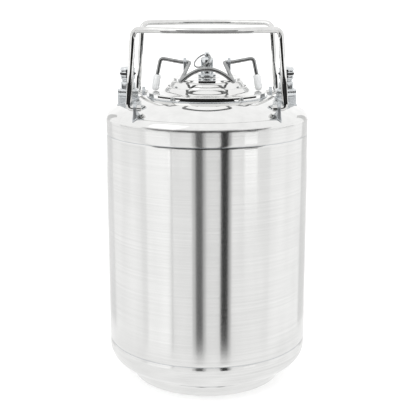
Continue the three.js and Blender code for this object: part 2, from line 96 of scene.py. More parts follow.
def eased(corners: Sequence[Corner], steps: int = 5, closed: bool = True) -> list[Point]:
    """Rounds each corner of an outline by its own cut-back.

    Args:
        corners: (radius, height, cut-back) in millimetres; a cut-back of 0 keeps the corner sharp.
        steps: The number of chords in one rounded corner.
        closed: Whether the outline returns to its first corner.

    Returns:
        The outline's points in order.
    """
    count = len(corners)
    points: list[Point] = []
    for i, (r, z, cut) in enumerate(corners):
        at = Vector((r, z))
        is_end = not closed and i in (0, count - 1)
        if cut <= 0 or is_end:
            points.append((r, z))
            continue
        before = Vector(corners[i - 1][:2])
        after = Vector(corners[(i + 1) % count][:2])
        first = at.lerp(before, min(cut / (at - before).length, 0.5))
        last = at.lerp(after, min(cut / (at - after).length, 0.5))
        for k in range(steps + 1):
            t = k / steps
            spot = first.lerp(at, t).lerp(at.lerp(last, t), t)
            points.append((spot.x, spot.y))
    return points


def bent_path(corners: Sequence[tuple[Vector, float]], steps: int = 8) -> list[Vector]:
    """The centre line of a bent rod.

    Args:
        corners: Each corner of the rod's line and how far back its bend starts, in millimetres.
        steps: The number of chords in one bend.

    Returns:
        The stations along the line, in millimetres.
    """
    stations = [corners[0][0].copy()]
    for i in range(1, len(corners) - 1):
        at, cut = corners[i]
        if cut <= 0:
            stations.append(at.copy())
            continue
        before, after = corners[i - 1][0], corners[i + 1][0]
        first = at.lerp(before, cut / (at - before).length)
        last = at.lerp(after, cut / (at - after).length)
        for k in range(steps + 1):
            t = k / steps
            stations.append(first.lerp(at, t).lerp(at.lerp(last, t), t))
    stations.append(corners[-1][0].copy())
    return stations


# ---------------------------------------------------------------- mesh making


def bead_profile(centre: Point, radius: float, steps: int = 23) -> list[Point]:
    """The round section of a weld bead or a rubber ring, as spun() wants it."""
    return arc(centre, radius, 0, BEAD_END, steps)


def across(x: float, y: float, z: float) -> Matrix:
    """The place of a plate that stands across X, with its own X along Y and its own Y up."""
    turn = Matrix.Rotation(math.pi / 2, 4, "Z") @ Matrix.Rotation(math.pi / 2, 4, "X")
    return Matrix.Translation(Vector((x, y, z)) * MM) @ turn


def bowed(ends: tuple[Vector, Vector], bow: Vector, steps: int, skip: int) -> list[tuple[Vector, float]]:
    """A parabola between two ends, without its first and last stations.

    Args:
        ends: The two ends in millimetres.
        bow: How far the middle stands off the straight line.
        steps: The number of chords.
        skip: How many stations are left out at either end, for the bends there.

    Returns:
        The stations, none of them bent.
    """
    stations = []
    for k in range(skip, steps - skip + 1):
        t = k / steps
        stations.append((ends[0].lerp(ends[1], t) + bow * (4 * t * (1 - t)), 0.0))
    return stations


def mirrored(half: Sequence[tuple[Vector, float]]) -> list[tuple[Vector, float]]:
    """The other half of a rod's corners, across the keg's middle plane and in reverse order."""
    return [(Vector((-at.x, at.y, at.z)), cut) for at, cut in reversed(half)]


def finish_mesh(name: str, bm: bmesh.types.BMesh, sharp_deg: float = 38.0) -> bpy.types.Object:
    """Turns a bmesh into a smooth shaded object at the origin.

    Args:
        name: The piece's name.
        bm: The bmesh, which is freed.
        sharp_deg: An edge that turns more than this stays crisp.

    Returns:
        The new object.
    """
    for face in bm.faces:
        face.smooth = True
    for edge in bm.edges:
        if len(edge.link_faces) == 2:
            edge.smooth = edge.calc_face_angle(0.0) < math.radians(sharp_deg)
    mesh = bpy.data.meshes.new(name)
    bm.to_mesh(mesh)
    bm.free()
    piece = bpy.data.objects.new(name, mesh)
    bpy.context.scene.collection.objects.link(piece)
    return piece


def spun(
    outline: Sequence[Point], sides: Sides, stretch_y: float = 1.0, closed: bool = True
) -> bmesh.types.BMesh:
    """A body of revolution about the Z axis.

    Args:
        outline: (radius, height) points in millimetres.
        sides: How many flats go round.
        stretch_y: How much longer the body is along Y than across X.
        closed: Whether the last point joins the first.

    Returns:
        The bmesh, in metres, with its faces outward.
    """
    bm = bmesh.new()
    chain = [bm.verts.new((r * MM, 0.0, z * MM)) for r, z in outline]
    edges = [bm.edges.new(pair) for pair in zip(chain, chain[1:])]
    if closed:
        edges.append(bm.edges.new((chain[-1], chain[0])))
    bmesh.ops.spin(
        bm, geom=chain + edges, axis=(0, 0, 1), cent=(0, 0, 0), angle=math.tau, steps=sides.value,
        use_merge=True,
    )
    bmesh.ops.remove_doubles(bm, verts=bm.verts, dist=1e-6)
    bmesh.ops.recalc_face_normals(bm, faces=bm.faces)
    if stretch_y != 1.0:
        bmesh.ops.scale(bm, vec=(1.0, stretch_y, 1.0), verts=bm.verts)
    return bm


def from_curve(name: str, curve: bpy.types.Curve, place: Matrix = Matrix.Identity(4)) -> bpy.types.Object:
    """Makes a curve a mesh and puts its place in that mesh.

    Args:
        name: The piece's name.
        curve: The curve, which is removed.
        place: Where the curve's own frame lies in the keg's frame.

    Returns:
        The new object, at the origin.
    """
    holder = bpy.data.objects.new(name + "_line", curve)
    bpy.context.scene.collection.objects.link(holder)
    bpy.context.view_layer.update()
    mesh = bpy.data.meshes.new_from_object(holder.evaluated_get(bpy.context.evaluated_depsgraph_get()))
    bpy.data.objects.remove(holder)
    bpy.data.curves.remove(curve)
    bm = bmesh.new()
    bm.from_mesh(mesh)
    bpy.data.meshes.remove(mesh)
    bmesh.ops.remove_doubles(bm, verts=bm.verts, dist=1e-7)
    bmesh.ops.recalc_face_normals(bm, faces=bm.faces)
    bmesh.ops.transform(bm, matrix=place, verts=bm.verts)
    return finish_mesh(name, bm)


def rod(name: str, stations: Sequence[Vector], radius: float, cyclic: bool = False) -> bpy.types.Object:
    """A round rod along a line, with eased ends.

    Args:
        name: The piece's name.
        stations: Points on its centre line in millimetres.
        radius: The rod's radius in millimetres.
        cyclic: Whether the rod closes on itself.

    Returns:
        The new object.
    """
    curve = bpy.data.curves.new(name, "CURVE")
    curve.dimensions = "3D"
    curve.bevel_depth = radius * MM
    curve.bevel_resolution = 6
    curve.use_fill_caps = not cyclic
    line = [(point, 1.0) for point in stations]
    if not cyclic:
        line = eased_end(line, radius) + line[1:-1] + eased_end(line[::-1], radius)[::-1]
    spline = curve.splines.new("POLY")
    spline.points.add(len(line) - 1)
    for spot, (point, share) in zip(spline.points, line):
        spot.co = (*(point * MM), 1.0)
        spot.radius = share
    spline.use_cyclic_u = cyclic
    return from_curve(name, curve)


def eased_end(line: Sequence[tuple[Vector, float]], radius: float) -> list[tuple[Vector, float]]:
    """The first stations of a rod whose sawn end is rounded over by a quarter of its radius."""
    tip, ahead = line[0][0], (line[1][0] - line[0][0]).normalized()
    ease = radius / 4
    turns = [math.radians(18 * k) for k in range(6)]
    return [(tip + ahead * ease * (1 - math.cos(a)), 0.75 + 0.25 * math.sin(a)) for a in turns]


@dataclass
class Plate:
    """A flat plate cut from sheet, with eased edges and round holes.

    Attributes:
        outline: Its outline in its own plane, in millimetres.
        holes: (x, y, radius) of each hole in millimetres.
        thick: The sheet's thickness in millimetres.
        ease: How far its edges are rounded in millimetres.
    """

    outline: Sequence[Point]
    holes: Sequence[Corner]
    thick: float
    ease: float = 0.5

    def build(self, name: str, place: Matrix) -> bpy.types.Object:
        """Cuts the plate.

        Args:
            name: The piece's name.
            place: Where the plate's own frame lies in the keg's frame.

        Returns:
            The new object.
        """
        curve = bpy.data.curves.new(name, "CURVE")
        curve.dimensions = "2D"
        curve.fill_mode = "BOTH"
        curve.extrude = (self.thick / 2 - self.ease) * MM
        curve.bevel_depth = self.ease * MM
        curve.bevel_resolution = 3
        curve.offset = -self.ease * MM
        loops = [list(self.outline)]
        loops += [arc((x, y), radius, 0, -360, 40)[:-1] for x, y, radius in self.holes]
        for loop in loops:
            spline = curve.splines.new("POLY")
            spline.points.add(len(loop) - 1)
            for spot, (x, y) in zip(spline.points, loop):
                spot.co = (x * MM, y * MM, 0.0, 1.0)
            spline.use_cyclic_u = True
        return from_curve(name, curve, place)


def joined(name: str, *pieces: bpy.types.Object) -> bpy.types.Object:
    """Makes one object of several, which are removed.

    Args:
        name: The joined piece's name.
        pieces: The objects, all at the origin.

    Returns:
        The joined object.
    """
    bm = bmesh.new()
    for piece in pieces:
        bm.from_mesh(piece.data)
        mesh = piece.data
        bpy.data.objects.remove(piece)
        bpy.data.meshes.remove(mesh)
    return finish_mesh(name, bm)


# ---------------------------------------------------------------- finishes


def linear(hex_colour: str) -> tuple[float, float, float, float]:
    """An sRGB hex colour as linear light with full cover."""
    parts = [int(hex_colour[i:i + 2], 16) / 255 for i in (1, 3, 5)]
    return (*[c / 12.92 if c <= 0.04045 else ((c + 0.055) / 1.055) ** 2.4 for c in parts], 1.0)


def add_node(
    tree: bpy.types.NodeTree, kind: str, inputs: Optional[dict] = None, **settings
) -> bpy.types.Node:
    """Adds a node with its settings, values and links.

    Args:
        tree: The material's node tree.
        kind: The node's type name.
        inputs: Socket name or index to a value, or to the output socket that feeds it.
        settings: The node's own properties.

    Returns:
        The new node.
    """
    node = tree.nodes.new(kind)
    for key, value in settings.items():
        setattr(node, key, value)
    for key, value in (inputs or {}).items():
        if isinstance(value, bpy.types.NodeSocket):
            tree.links.new(value, node.inputs[key])
        else:
            node.inputs[key].default_value = value
    return node


def new_material(name: str) -> tuple[bpy.types.Material, bpy.types.NodeTree, bpy.types.Node]:
    """A bare node material.

    Args:
        name: The material's name.

    Returns:
        The material, its tree and its output node.
    """
    material = bpy.data.materials.new(name)
    material.use_nodes = True
    tree = material.node_tree
    tree.nodes.clear()
    return material, tree, add_node(tree, "ShaderNodeOutputMaterial")


def pattern(
    tree: bpy.types.NodeTree, size_mm: tuple[float, float, float], detail: float = 3.0
) -> bpy.types.NodeSocket:
    """A noise pattern in the keg's own space.

    Args:
        tree: The material's node tree.
        size_mm: The pattern's grain along X, Y and Z in millimetres.
        detail: How many finer layers it has.

    Returns:
        The pattern's strength, about 0.5 in the middle.
    """
    place = add_node(tree, "ShaderNodeTexCoord")
    scale = tuple(1.0 / (size * MM) for size in size_mm)
    mapping = add_node(tree, "ShaderNodeMapping", {"Vector": place.outputs["Object"], "Scale": scale})
    noise = add_node(
        tree, "ShaderNodeTexNoise", {"Vector": mapping.outputs[0], "Scale": 1.0, "Detail": detail}
    )
    return noise.outputs["Fac"]


def ranged(
    tree: bpy.types.NodeTree, value: bpy.types.NodeSocket, low: float, high: float
) -> bpy.types.NodeSocket:
    """The middle of a noise pattern stretched from low to high."""
    node = add_node(tree, "ShaderNodeMapRange", {
        "Value": value, "From Min": 0.3, "From Max": 0.7, "To Min": low, "To Max": high,
    })
    return node.outputs[0]


def tinted(
    tree: bpy.types.NodeTree, value: bpy.types.NodeSocket, light: str, dark: str
) -> bpy.types.NodeSocket:
    """Two colours mixed by the middle of a noise pattern."""
    mix = {0: ranged(tree, value, 0.0, 1.0), 6: linear(light), 7: linear(dark)}
    return add_node(tree, "ShaderNodeMix", mix, data_type="RGBA").outputs[2]


def bumped(
    tree: bpy.types.NodeTree, height: bpy.types.NodeSocket, strength: float, depth_mm: float
) -> bpy.types.NodeSocket:
    """The normal of a surface whose pattern stands out by a depth in millimetres."""
    bump = {"Height": height, "Strength": strength, "Distance": depth_mm * MM}
    return add_node(tree, "ShaderNodeBump", bump).outputs[0]


@dataclass(frozen=True)
class Steel:
    """Austenitic stainless steel sheet or bar, type 304.

    Attributes:
        name: The finish's name.
        light: The colour of its cleanest metal.
        dark: The colour in its grain or haze.
        rough: Lowest and highest roughness.
        grain_mm: The grain's size along X, Y and Z.
        relief_mm: The grain's depth.
        anisotropy: How much the grain spreads a highlight across itself.
    """

    name: str
    light: str
    dark: str
    rough: tuple[float, float]
    grain_mm: tuple[float, float, float]
    relief_mm: float
    anisotropy: float = 0.0

    def build(self) -> bpy.types.Material:
        """Makes the material.

        Returns:
            The node material.
        """
        material, tree, out = new_material(self.name)
        grain = pattern(tree, self.grain_mm)
        cloud = pattern(tree, (55.0, 55.0, 40.0), 2.0)
        both = add_node(
            tree, "ShaderNodeMix", {0: 0.35, 2: grain, 3: cloud}, data_type="FLOAT"
        ).outputs[0]
        shader = add_node(tree, "ShaderNodeBsdfPrincipled", {
            "Base Color": tinted(tree, both, self.light, self.dark), "Metallic": 1.0,
            "Roughness": ranged(tree, both, *self.rough), "Normal": bumped(tree, grain, 0.3, self.relief_mm),
        })
        if self.anisotropy:
            around = add_node(tree, "ShaderNodeTangent", direction_type="RADIAL", axis="Z")
            tree.links.new(around.outputs[0], shader.inputs["Tangent"])
            shader.inputs["Anisotropic"].default_value = self.anisotropy
            shader.inputs["Anisotropic Rotation"].default_value = 0.25
        tree.links.new(shader.outputs[0], out.inputs["Surface"])
        return material


@dataclass(frozen=True)
class Polymer:
    """A moulded or dipped polymer.

    Attributes:
        name: The finish's name.
        light: Its colour on clean skin.
        dark: Its colour in handled or dusty places.
        rough: Lowest and highest roughness.
        grain_mm: The size of its moulded grain.
        relief_mm: The grain's depth.
        glow: How much light scatters under its skin.
    """

    name: str
    light: str
    dark: str
    rough: tuple[float, float]
    grain_mm: float
    relief_mm: float
    glow: float = 0.0

    def build(self) -> bpy.types.Material:
        """Makes the material.

        Returns:
            The node material.
        """
        material, tree, out = new_material(self.name)
        grain = pattern(tree, (self.grain_mm,) * 3)
        shader = add_node(tree, "ShaderNodeBsdfPrincipled", {
            "Base Color": tinted(tree, grain, self.light, self.dark),
            "Roughness": ranged(tree, grain, *self.rough), "Normal": bumped(tree, grain, 0.4, self.relief_mm),
            "Subsurface Weight": self.glow, "Subsurface Radius": (0.002, 0.002, 0.002),
        })
        tree.links.new(shader.outputs[0], out.inputs["Surface"])
        return material


class Look(Enum):
    """Each finish on the keg, with the record's material slot that it belongs to; the slot is kept but not
    used.
    """

    BRUSHED_WALL = ("brushed_steel", Steel(
        # Belt brushed round the tank: fine hoops that draw each reflection out into an upright band.
        # Real brush lines are a tenth of a millimetre wide. These are coarser, so that they show.
        "brushed_304_tank_sheet", "#E8E8E7", "#DEDEDD", (0.15, 0.2), (150.0, 150.0, 1.3), 0.003, 0.7))
    MIRROR_SHEET = ("polished_steel", Steel(
        # Buffed after spinning, so it mirrors the room with a faint haze.
        "buffed_304_spun_sheet", "#E9E9E8", "#DCDCDB", (0.03, 0.07), (14.0, 14.0, 14.0), 0.008))
    BOTTOM_SHEET = ("polished_steel", Steel(
        # Brushed more lightly than the wall, round the same axis, in lines as coarse as the wall's.
        "light_brushed_304_sheet", "#EAEAE9", "#DDDDDC", (0.12, 0.18), (120.0, 120.0, 1.4), 0.004, 0.5))
    BRIGHT_ROD = ("polished_steel", Steel(
        # Drawn and electropolished rod: bright, with a soft drawn skin.
        "electropolished_304_rod", "#E2E2E1", "#D0D0CF", (0.02, 0.05), (7.0, 7.0, 7.0), 0.004))
    SPRING_WIRE = ("polished_steel", Steel(
        # Hard-drawn spring wire: bright, but its colour is painted darker than the rods' as painted shade,
        # standing in for the dark reflections on the thin bail and pull ring.
        "spring_wire_painted_dark", "#B0B1B1", "#868787", (0.02, 0.05), (5.0, 5.0, 5.0), 0.004))
    TURNED_FITTING = ("polished_steel", Steel(
        # Turned on a lathe: close tool marks round the fitting, a little coarser than real ones.
        "turned_304_fitting", "#E0E2E3", "#BFC3C6", (0.09, 0.18), (6.0, 6.0, 0.5), 0.008))
    SATIN_PLATE = ("satin_steel", Steel(
        # Blasted plate and cut parts: an even, soft grey sheen.
        "satin_304_plate", "#CDD0D2", "#AEB2B5", (0.26, 0.38), (1.2, 1.2, 1.2), 0.015))
    WELD = ("satin_steel", Steel(
        # Bead of filler rod: close ripples and a slightly darker skin.
        "brushed_308_weld_bead", "#D3D6D8", "#B3B7BA", (0.2, 0.32), (1.6, 1.6, 1.6), 0.03))
    NITRILE = ("black_rubber", Polymer(
        # Moulded nitrile ring: black, with a dusty matt skin.
        "moulded_nitrile", "#19191A", "#2A2A2B", (0.42, 0.6), 0.8, 0.02))
    VINYL = ("clear_vinyl", Polymer(
        # Dipped vinyl sleeve: milky, lit from inside, with a soft gloss.
        "dipped_milky_vinyl", "#F6F7F7", "#E9EBEC", (0.25, 0.36), 1.5, 0.02, 0.15))

    def __init__(self, slot: str, finish: Union[Steel, Polymer]) -> None:
        """Keeps the slot and the finish of one look."""
        self.slot = slot
        self.finish = finish

    def material(self) -> bpy.types.Material:
        """The look's material, made once."""
        return bpy.data.materials.get(self.finish.name) or self.finish.build()


def install(piece: bpy.types.Object, look: Look, body: str, *nodes: str) -> bpy.types.Object:
    """Dresses a piece, puts it on its body and lets it stand for its CAD nodes.

    Args:
        piece: The finished piece.
        look: Its finish.
        body: The CAD body that it rides on.
        nodes: The CAD nodes that it replaces.

    Returns:
        The same piece.
    """
    piece.data.materials.clear()
    piece.data.materials.append(look.material())
    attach(piece, body)
    if nodes:
        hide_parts(*nodes)
    LOG.info("%s rides on %s in %s, %d faces", piece.name, body, look.name, len(piece.data.polygons))
    return piece


def box_mm(node: str) -> tuple[Vector, Vector]:
    """The lowest and highest corner of a CAD node in millimetres."""
    low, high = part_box(node)
    return low / MM, high / MM


def hinge_mm(body: str) -> Vector:
    """The place of a body's joint in millimetres."""
    joint = next(j for j in frame["joints"] if j["child"] == body)
    return Vector(joint["pos_m"]) / MM


# ---------------------------------------------------------------- tank


@dataclass
class Tank:
    """The pressure shell: the wall, two spun domes and the foot ring.

    Attributes:
        sheet: Sheet thickness.
        shoulder: Radius of the top dome's shoulder.
        shoulder_slope: The dome's slope where the shoulder ends, in degrees.
        land_slope: The dome's slope where it meets the collar's land, in degrees.
        land_radius: Where that land starts.
        band: Height of the straight band between the upper seam and the shoulder.
        mouth: Radius of the hole in the top dome, under the collar.
        knuckle: Radius of the bottom dome's knuckle.
        knuckle_z: Height of the knuckle's centre.
        knuckle_end: Where the knuckle's arc ends, in degrees.
        crease: Where the bottom dome turns in over the foot ring, as (radius, height).
        dish: The bottom dish's radius where it starts to turn down, and its fall from the middle.
        lip: How far the lower sheet's and the upper sheet's edge is rolled in at a seam.
        band_tilt: The dome's skin is brushed like the wall up to this upward tilt, and buffed above it.
    """

    sheet: float = 1.2
    shoulder: float = 12.4
    shoulder_slope: float = 30.0
    land_slope: float = 8.7
    land_radius: float = 67.5
    band: float = 15.0
    mouth: float = 62.3
    knuckle: float = 22.0
    knuckle_z: float = 38.5
    knuckle_end: float = -76.0
    crease: Point = (90.5, 14.3)
    dish: Point = (50.0, 1.6)
    lip: Point = (0.9, 0.5)
    band_tilt: float = 0.45
    radius: float = field(init=False)
    low_seam: float = field(init=False)
    high_seam: float = field(init=False)

    def __post_init__(self) -> None:
        """Takes the shell's radius and seam heights from the frame."""
        low, high = box_mm("tank_wall")
        self.radius, self.low_seam, self.high_seam = high.x, low.z, high.z
        self.land_z = box_mm("top_dome")[1].z
        self.shoulder_start = self.high_seam + self.band

    def dome_line(self, inset: float = 0.0, steps: int = 28) -> list[Point]:
        """The dome's line from the top of its straight band to the collar's land.

        Args:
            inset: How far inside the outer skin.
            steps: The number of chords on the crown.

        Returns:
            The line's points, going up and in.
        """
        start, end = 90 - self.shoulder_slope, 90 - self.land_slope
        heart = (self.radius - self.shoulder, self.shoulder_start)
        turn = arc(heart, self.shoulder - inset, 0, start, 14)
        edge = arc(heart, self.shoulder, 0, start, 1)[-1]
        chord = math.hypot(edge[0] - self.land_radius, self.land_z - edge[1])
        crown = chord / (2 * math.sin(math.radians(end - start) / 2))
        angle = math.radians(start)
        centre = (edge[0] - crown * math.cos(angle), edge[1] - crown * math.sin(angle))
        return turn + arc(centre, crown - inset, start, end, steps)[1:]

    def dome_height(self, r: float) -> float:
        """The dome's outer height at a radius, by running along its line."""
        line = self.dome_line()
        for (r0, z0), (r1, z1) in zip(line, line[1:]):
            if r1 <= r <= r0:
                return z0 + (z1 - z0) * (r0 - r) / max(r0 - r1, 1e-9)
        return self.land_z

    def wall(self) -> bpy.types.Object:
        """The rolled wall, its edges eased into the two seams."""
        inner = self.radius - self.sheet
        low, high = self.low_seam, self.high_seam
        lower, upper = (self.radius - roll for roll in self.lip)
        outline = eased([
            (inner, low, 0), (lower, low, 0.4), (self.radius, low + 2.2, 1.4),
            (self.radius, high - 1.8, 1.4), (upper, high, 0.3), (inner, high, 0),
        ])
        return finish_mesh("wall_sheet", spun(outline, Sides.TANK))

    def top_dome(self) -> bpy.types.Object:
        """The spun top dome with its straight band and the flat land under the collar."""
        low = box_mm("top_dome")[0].z
        band = eased([
            (self.radius - self.sheet, low, 0), (self.radius - self.lip[1], low, 0.3),
            (self.radius, low + 1.8, 1.4), (self.radius, self.shoulder_start, 0),
        ], closed=False)
        outer = band[:-1] + self.dome_line() + [(self.mouth, self.land_z)]
        inner = [(self.mouth, self.land_z - self.sheet)] + self.dome_line(self.sheet)[::-1]
        return finish_mesh("top_dome_sheet", spun(outer + inner, Sides.TANK))

    def brush_band(self, dome: bpy.types.Object) -> None:
        """Gives the dome's upright band the wall's brushed finish, up to the knuckle."""
        dome.data.materials.append(Look.BRUSHED_WALL.material())
        for face in dome.data.polygons:
            face.material_index = int(abs(face.normal.z) < self.band_tilt)

    def bottom_dome(self) -> bpy.types.Object:
        """The bottom dome: a rounded knuckle, the crease over the foot ring and a shallow dish."""
        low, high = box_mm("bottom_dome")
        crease_r, crease_z = self.crease
        dish_r, fall = self.dish

        def line(inset: float) -> list[Point]:
            """The dish and the knuckle, inset from the outer skin."""
            centre = (self.radius - self.knuckle, self.knuckle_z)
            knuckle = arc(centre, self.knuckle - inset, self.knuckle_end, 0, 22)
            dish = eased([
                (0, low.z + inset, 0), (dish_r, low.z + fall + inset, 20),
                (crease_r - inset, crease_z + inset, 2.5), (*knuckle[0], 0),
            ], 8, closed=False)
            return dish[:-1] + knuckle

        rim = eased([
            (self.radius, self.knuckle_z + 0.1, 0), (self.radius, high.z - 2.4, 1.4),
            (self.radius - self.lip[0], high.z, 0.4), (self.radius - self.sheet, high.z, 0),
        ], closed=False)
        outline = line(0) + rim[1:] + line(self.sheet)[::-1]
        return finish_mesh("bottom_dome_sheet", spun(outline, Sides.TANK, closed=False))

    def foot_ring(self) -> bpy.types.Object:
        """The rolled foot ring, flaring up to the crease, with a round bead to stand on."""
        top = box_mm("base_skirt")[1].z
        outline = eased([
            (82.8, 0.0, 0.8), (85.4, 0.0, 0.8), (86.5, 1.4, 1.0), (89.9, top - 1.4, 0.8),
            (89.5, top, 0.3), (88.3, top - 0.2, 0.2), (84.9, 3.2, 1.0), (82.4, 1.2, 0.8),
        ])
        return finish_mesh("foot_ring_sheet", spun(outline, Sides.TANK))

    def bead(self, name: str, radius: float, height: float, size: float) -> bpy.types.Object:
        """A round weld bead about the tank's axis."""
        return finish_mesh(name, spun(bead_profile((radius, height), size), Sides.TANK))

    def install(self) -> None:
        """Builds and dresses the whole shell, then lays its three weld beads."""
        install(self.wall(), Look.BRUSHED_WALL, "tank", "tank_wall")
        self.brush_band(install(self.top_dome(), Look.MIRROR_SHEET, "tank", "top_dome"))
        install(self.bottom_dome(), Look.BOTTOM_SHEET, "tank", "bottom_dome")
        install(self.foot_ring(), Look.BOTTOM_SHEET, "tank", "base_skirt")
        beads = (
            ("low_seam_weld", self.radius - 1.15, self.low_seam - 0.15, 0.45),
            ("high_seam_weld", self.radius - 0.7, self.high_seam + 0.1, 0.4),
            ("foot_ring_weld", 90.2, 13.9, 0.7),
        )
        for bead in beads:
            install(self.bead(*bead), Look.WELD, "tank")


@dataclass
class Mouth:
    """The round mouth collar with its raised oval lip, welded on the dome's land.

    Attributes:
        oval: How much longer the mouth is along Y.
        lip_base: Half width of the lip where it leaves the collar.
        brow: Half width of the lip at the middle of its hollow flank.
        crest: Half width of the lip's flat crest.
        opening: Half width of the opening.
        pocket: Half width of the pocket that the lid's rubber ring closes.
        ceiling: Height of that pocket's sealing face.
        rim: Width of the round rim, outside the oval part.
        face: Height of the collar's outer face.
    """

    oval: float = 1.2
    lip_base: float = 53.0
    brow: float = 49.0
    crest: float = 44.6
    opening: float = 43.2
    pocket: float = 51.2
    ceiling: float = 331.0
    rim: float = 2.0
    face: float = 5.4

    def __post_init__(self) -> None:
        """Takes the collar's radius and heights from the frame."""
        low, high = box_mm("mouth_collar")
        self.radius, self.bottom, self.lip_top = high.x, low.z, high.z
        self.top = self.bottom + self.face

    def stretch(self, bm: bmesh.types.BMesh) -> None:
        """Makes the inner part oval and leaves the rim round, easing between the two."""
        outer = self.radius - self.rim
        for vert in bm.verts:
            r = math.hypot(vert.co.x, vert.co.y) / MM
            share = max(0.0, min(1.0, (outer - r) / (outer - self.lip_base)))
            vert.co.y *= 1 + (self.oval - 1) * share

    def build(self) -> bpy.types.Object:
        """The collar as one pressed and ground ring."""
        outline = eased([
            (self.radius, self.bottom, 0.3), (self.radius, self.top, 1.3),
            (self.lip_base + 1.0, self.top + 0.1, 1.5), (self.brow, self.top + 1.5, 2.4),
            (self.crest + 1.0, self.lip_top - 1.0, 1.5), (self.crest, self.lip_top, 0.7),
            (self.opening, self.lip_top, 0.5), (self.opening, self.ceiling, 0.3),
            (self.pocket, self.ceiling, 0.3), (self.pocket, self.bottom, 0.2),
        ], 7)
        bm = spun(outline, Sides.TANK)
        self.stretch(bm)
        bmesh.ops.recalc_face_normals(bm, faces=bm.faces)
        return finish_mesh("mouth_collar_ring", bm)

    def install(self, tank: Tank) -> None:
        """Builds and dresses the collar and its weld."""
        install(self.build(), Look.MIRROR_SHEET, "tank", "mouth_collar")
        install(tank.bead("collar_weld", self.radius + 0.2, self.bottom - 0.1, 0.7), Look.WELD, "tank")


# ---------------------------------------------------------------- ports


@dataclass
class Port:
    """One ball-lock port: boss, post, its rubber ring and the poppet.

    Attributes:
        line: "gas" or "liquid".
        notched: Whether the hexagon's corners carry the gas notch.
        flats: Distance across the hexagon's flats.
        hex_height: Height of the hexagon.
        notch: Each notched corner's points, as (turn in degrees, share of the corner's reach).
        barrel: Radius of the post's barrel.
        groove: The locking groove's depth and its four heights.
        chamber: The valve chamber's radius, floor and roof.
        nose: The open nose's radius and the height where it widens.
        thread: Radius of the thread's bore in the post.
        ring_section: Radius of the rubber ring's section.
        boss_tube: The boss's bore, spigot and thread radius.
        boss_flange: The flange's radius where it widens to.
    """

    line: str
    notched: bool
    flats: float = 22.2
    hex_height: float = 7.2
    notch: tuple[Point, ...] = ((-7.0, 0.955), (0.0, 0.87), (7.0, 0.955))
    barrel: float = 8.6
    groove: tuple[float, ...] = (1.5, 340.2, 341.4, 344.0, 345.4)
    chamber: Corner = (5.2, 339.3, 352.0)
    nose: Point = (3.4, 353.8)
    thread: float = 7.5
    ring_section: float = 0.95
    boss_tube: Corner = (4.9, 8.0, 7.2)
    boss_flange: float = 12.0

    def __post_init__(self) -> None:
        """Takes the port's place from the frame."""
        low, high = box_mm(f"{self.line}_post")
        self.centre = (low + high) / 2
        self.low, self.top = low.z, high.z
        self.hex_top = self.low + self.hex_height
        ring_low, ring_high = box_mm(f"{self.line}_post_oring")
        self.ring_z = (ring_low.z + ring_high.z) / 2

    def placed(self, name: str, bm: bmesh.types.BMesh) -> bpy.types.Object:
        """Moves a fitting from the keg's axis to the port and makes it an object."""
        bmesh.ops.translate(bm, vec=(self.centre.x * MM, 0, 0), verts=bm.verts)
        return finish_mesh(name, bm)

    def boss(self) -> bpy.types.Object:
        """The welded boss, its flange let into the dome's slope."""
        low, high = box_mm(f"{self.line}_port_boss")
        bore, spigot, thread = self.boss_tube
        flange, step, seat = self.boss_flange, low.z + 3.4, self.low - 0.3
        outline = eased([
            (bore, low.z, 0.3), (spigot, low.z, 0.3), (spigot, step, 0.2), (flange - 0.4, step, 0.3),
            (flange, self.low - 1.5, 0.4), (flange - 0.4, seat, 0.4), (thread, seat, 0.2),
            (thread, high.z, 0.4), (bore, high.z, 0.4),
        ])
        return self.placed(f"{self.line}_boss", spun(outline, Sides.FITTING))

    def boss_weld(self, tank: Tank) -> bpy.types.Object:
        """The weld bead that follows the dome round the boss."""
        line = []
        reach, steps = self.boss_flange + 0.1, 64
        for k in range(steps):
            a = math.tau * k / steps
            x = self.centre.x + reach * math.cos(a)
            y = reach * math.sin(a)
            line.append(Vector((x, y, tank.dome_height(math.hypot(x, y)) + 0.2)))
        return rod(f"{self.line}_boss_weld", line, 1.0, cyclic=True)

    def hexagon(self) -> bpy.types.Object:
        """The spanner hexagon, notched at its corners on the gas side."""
        corner = self.flats / math.sqrt(3)
        outline: list[Point] = []
        for k in range(6):
            a = math.radians(30 + 60 * k)
            if self.notched:
                for turn, reach in self.notch:
                    b = a + math.radians(turn)
                    outline.append((corner * reach * math.cos(b), corner * reach * math.sin(b)))
            else:
                outline.append((corner * math.cos(a), corner * math.sin(a)))
        height = self.hex_top - self.low
        place = Matrix.Translation(Vector((self.centre.x, 0, self.low + height / 2)) * MM)
        return Plate(outline, [(0, 0, self.barrel - 0.4)], height, 0.5).build(f"{self.line}_hexagon", place)

    def post(self) -> bpy.types.Object:
        """The post's barrel: locking groove, ring groove, rounded nose and valve chamber."""
        b, z, nose = self.barrel, self.ring_z, self.nose[0]
        cut, g0, g1, g2, g3 = self.groove
        chamber, floor, roof = self.chamber
        seat = b - 1.7
        outline = eased([
            (self.thread, self.low, 0.2), (b, self.low, 0.2), (b, g0, 0.5), (b - cut, g1, 0.5),
            (b - cut, g2, 0.5), (b, g3, 0.5), (b, z - 1.3, 0.3), (seat, z - 1.3, 0.2),
            (seat, z + 1.3, 0.2), (b, z + 1.3, 0.3), (b, self.top - 2.0, 1.0), (b - 1.6, self.top, 1.0),
            (nose + 0.5, self.top, 0.4), (nose, self.top - 0.5, 0.2), (nose, self.nose[1], 0.3),
            (chamber, roof, 0.2), (chamber, floor, 0.2), (self.thread, floor, 0.2),
        ], 4)
        barrel = self.placed(f"{self.line}_barrel", spun(outline, Sides.FITTING))
        return joined(f"{self.line}_post_turned", barrel, self.hexagon())

    def ring(self) -> bpy.types.Object:
        """The post's rubber ring."""
        section = bead_profile((self.barrel - 0.35, self.ring_z), self.ring_section, 15)
        return self.placed(f"{self.line}_ring", spun(section, Sides.FITTING))

